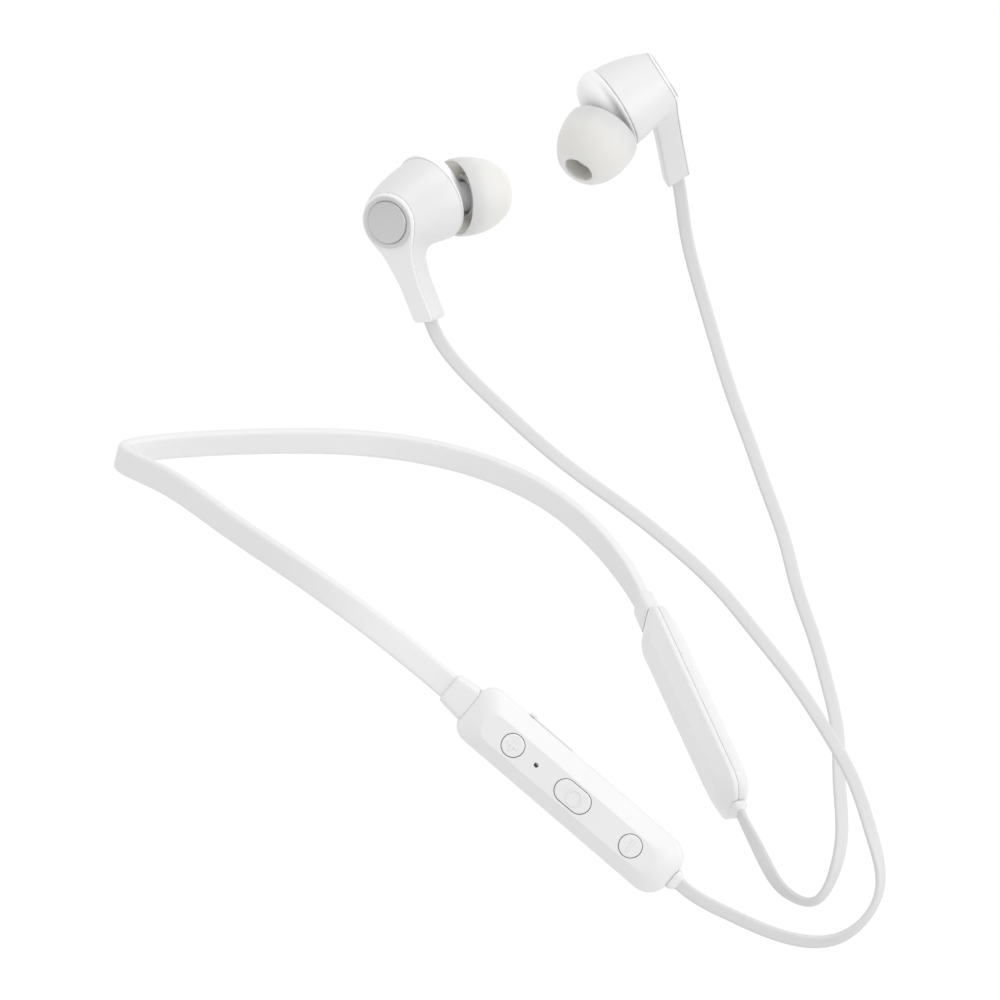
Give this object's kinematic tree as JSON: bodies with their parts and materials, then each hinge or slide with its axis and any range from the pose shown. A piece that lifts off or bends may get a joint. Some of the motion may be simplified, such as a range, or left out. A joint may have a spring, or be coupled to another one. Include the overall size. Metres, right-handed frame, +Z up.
{
  "type": "neckband earphones",
  "caption": "Wireless neckband earphones: a flat flexible band carries a control pod and a battery pod, and a flat cable from each pod ends in an angled in-ear earbud.",
  "frame": {"origin": "middle of the band's inner face at the nape of the neck", "axes": "+Z up as worn, -Y the way the wearer faces, -X the wearer's right, where the control pod hangs"},
  "size_m": [0.0909, 0.1517, 0.1327],
  "materials": {
    "white_shell": "satin white moulding",
    "soft_skin": "soft-touch white elastomer",
    "soft_cable": "matte white elastomer",
    "button_white": "satin white, with a raised sign",
    "silicone": "translucent white silicone",
    "grey_bezel": "pearl grey, polished",
    "spun_metal": "spun face",
    "steel": "bright",
    "board": "solder mask",
    "component": "moulded",
    "copper_lead": "enamelled",
    "cell_foil": "foil pouch",
    "diaphragm_film": "thin film"
  },
  "bodies": {
    "neckband": {"near_band_skin": "soft_skin", "near_spring_wire": "steel", "near_band_lead": "copper_lead", "control_sleeve": "soft_skin", "control_front_shell": "white_shell", "control_rear_shell": "white_shell", "control_gland": "soft_skin", "main_board": "board", "plus_switch": "component", "multifunction_switch": "component", "minus_switch": "component", "microphone": "steel", "radio_module": "steel", "usb_socket": "steel", "near_cable": "soft_cable", "near_face_plate": "white_shell", "near_housing": "white_shell", "near_bezel": "grey_bezel", "near_accent_disc": "spun_metal", "near_nozzle_cap": "white_shell", "near_nozzle_mesh": "steel", "near_driver_frame": "component", "near_driver_magnet": "steel", "near_diaphragm": "diaphragm_film"},
    "far_arm": {"far_band_skin": "soft_skin", "far_spring_wire": "steel", "far_band_lead": "copper_lead", "battery_sleeve": "soft_skin", "battery_front_shell": "white_shell", "battery_rear_shell": "white_shell", "battery_gland": "soft_skin", "battery_cell": "cell_foil", "protection_board": "board", "far_cable": "soft_cable", "far_face_plate": "white_shell", "far_housing": "white_shell", "far_bezel": "grey_bezel", "far_accent_disc": "spun_metal", "far_nozzle_cap": "white_shell", "far_nozzle_mesh": "steel", "far_driver_frame": "component", "far_driver_magnet": "steel", "far_diaphragm": "diaphragm_film"},
    "plus_button": {"plus_button": "button_white"},
    "multifunction_button": {"multifunction_button": "button_white"},
    "minus_button": {"minus_button": "button_white"},
    "usb_flap": {"usb_flap": "soft_skin"},
    "near_ear_tip": {"near_ear_tip": "silicone"},
    "far_ear_tip": {"far_ear_tip": "silicone"}
  },
  "joints": [
    {"name": "plus_press", "type": "slide", "parent": "neckband", "child": "plus_button", "axis": [0.9223, 0.3491, -0.166], "range_m": [0, 0.00025], "stiffness_N_per_m": 4000, "springref_m": -0.00025},
    {"name": "multifunction_press", "type": "slide", "parent": "neckband", "child": "multifunction_button", "axis": [0.9223, 0.3491, -0.166], "range_m": [0, 0.00025], "stiffness_N_per_m": 4000, "springref_m": -0.00025},
    {"name": "minus_press", "type": "slide", "parent": "neckband", "child": "minus_button", "axis": [0.9223, 0.3491, -0.166], "range_m": [0, 0.00025], "stiffness_N_per_m": 4000, "springref_m": -0.00025},
    {"name": "usb_flap_hinge", "type": "hinge", "parent": "neckband", "child": "usb_flap", "pos_m": [-0.02547, -0.10032, -0.03181], "axis": [0.9223, 0.3491, -0.166], "range_deg": [0, 105]},
    {"name": "near_ear_tip_pull", "type": "slide", "parent": "neckband", "child": "near_ear_tip", "axis": [0.8712, -0.4909, -0.0035], "range_m": [0, 0.009]},
    {"name": "far_ear_tip_pull", "type": "slide", "parent": "far_arm", "child": "far_ear_tip", "axis": [-0.8194, 0.0737, -0.5684], "range_m": [0, 0.009]},
    {"name": "band_flex", "type": "hinge", "parent": "neckband", "child": "far_arm", "pos_m": [0, 0.00095, 0], "axis": [0, 0, 1], "range_deg": [-3, 20], "stiffness_Nm_per_rad": 0.5}
  ]
}
